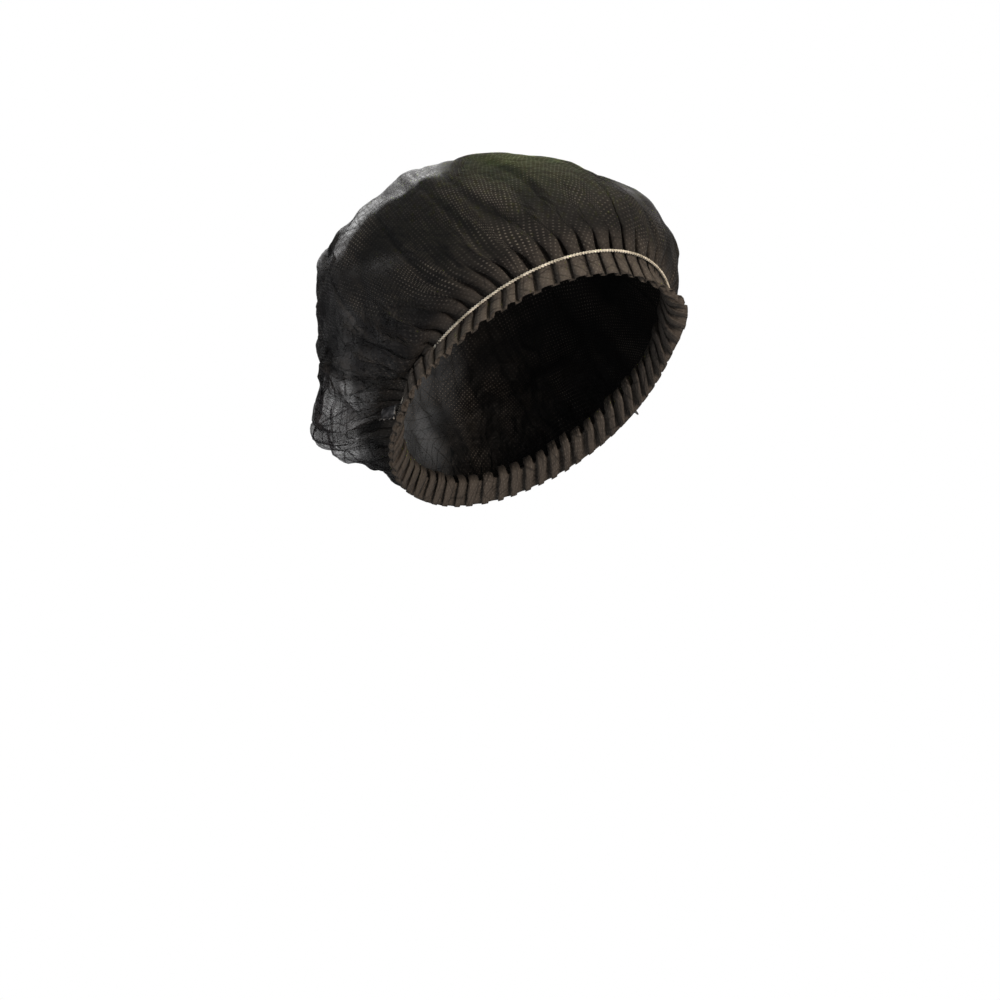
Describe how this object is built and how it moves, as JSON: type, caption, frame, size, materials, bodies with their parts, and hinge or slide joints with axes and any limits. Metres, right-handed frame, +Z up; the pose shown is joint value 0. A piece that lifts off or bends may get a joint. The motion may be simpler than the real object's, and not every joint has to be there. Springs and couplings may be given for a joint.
{
  "type": "mob cap",
  "caption": "Soft disposable mob cap of thin black nonwoven cloth, gathered by an elastic into a baggy crown above a short pleated frill that covers the hair.",
  "frame": {"origin": "centre of the elastic loop, where the cap sits on a head", "axes": "+Z up as worn, -Y the way the wearer faces, +X the wearer's left; the loop leans back 40 degrees about X"},
  "size_m": [0.2151, 0.2425, 0.2112],
  "materials": {
    "spunbond_cloth": "thin black spunbond polypropylene, point bonded, slightly shiny at the bond points and see-through where it is one layer",
    "elastic_cord": "cream covered elastic, matt, with a fine beaded surface",
    "welded_cloth": "the same cloth welded flat, denser and glossier"
  },
  "bodies": {
    "root": {"crown": "spunbond_cloth", "elastic_front": "elastic_cord", "elastic_back": "elastic_cord", "end_tab_right": "welded_cloth", "end_tab_left": "welded_cloth"}
  },
  "joints": []
}
